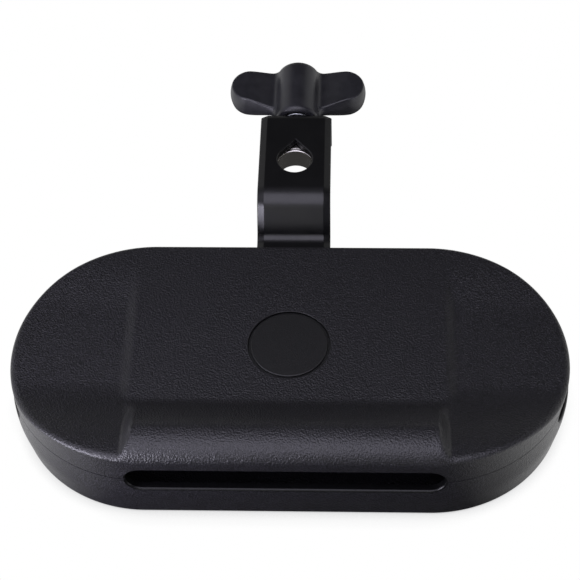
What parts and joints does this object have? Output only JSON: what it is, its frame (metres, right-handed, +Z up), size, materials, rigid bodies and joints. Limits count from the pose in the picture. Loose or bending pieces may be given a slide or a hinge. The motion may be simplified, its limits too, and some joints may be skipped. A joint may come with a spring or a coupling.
{
  "type": "mounted percussion block",
  "caption": "Hollow moulded percussion block with slotted walls, a front playing ridge and a rear strap bracket whose wing nut and eye bolt clamp it to an upright rod.",
  "frame": {"origin": "centre of the flat base of the block", "axes": "+X along the block, +Y back towards the rod clamp, +Z up out of the playing surface; the long slot and the ridge face -Y"},
  "size_m": [0.21, 0.1982, 0.0415],
  "materials": {
    "shell": "black ABS, moulded with a fine leather-like grain",
    "badge": "smooth black ABS, satin",
    "bracket": "gloss black powder coat over bent steel strap",
    "eye_bolt": "nickel-chrome plated forged steel",
    "grip": "semi-gloss black nylon, lightly textured",
    "insert": "zinc plated steel",
    "fastener": "zinc plated steel"
  },
  "bodies": {
    "block": {"upper_shell": "shell", "lower_shell": "shell", "badge": "badge", "mounting_bracket": "bracket", "flange_washer": "fastener", "shell_screw_1": "fastener", "shell_screw_2": "fastener", "shell_screw_3": "fastener", "shell_screw_4": "fastener", "bracket_screw_1": "fastener", "bracket_screw_2": "fastener", "bracket_washer_1": "fastener", "bracket_washer_2": "fastener", "bracket_nut_1": "fastener", "bracket_nut_2": "fastener"},
    "eye": {"eye_bolt": "eye_bolt"},
    "wing_nut": {"wing_grip": "grip", "wing_insert": "insert"}
  },
  "joints": [
    {"name": "wing_turn", "type": "hinge", "parent": "block", "child": "wing_nut", "pos_m": [0, 0.1315, 0.0287], "axis": [0, -1, 0], "range_deg": [0, 1512]},
    {"name": "eye_slide", "type": "slide", "parent": "block", "child": "eye", "axis": [0, 1, 0], "range_m": [0, 0.00525]}
  ],
  "couplings": [
    {"joint": "wing_turn", "follows": "eye_slide", "rad_per_m": 5026.5}
  ]
}
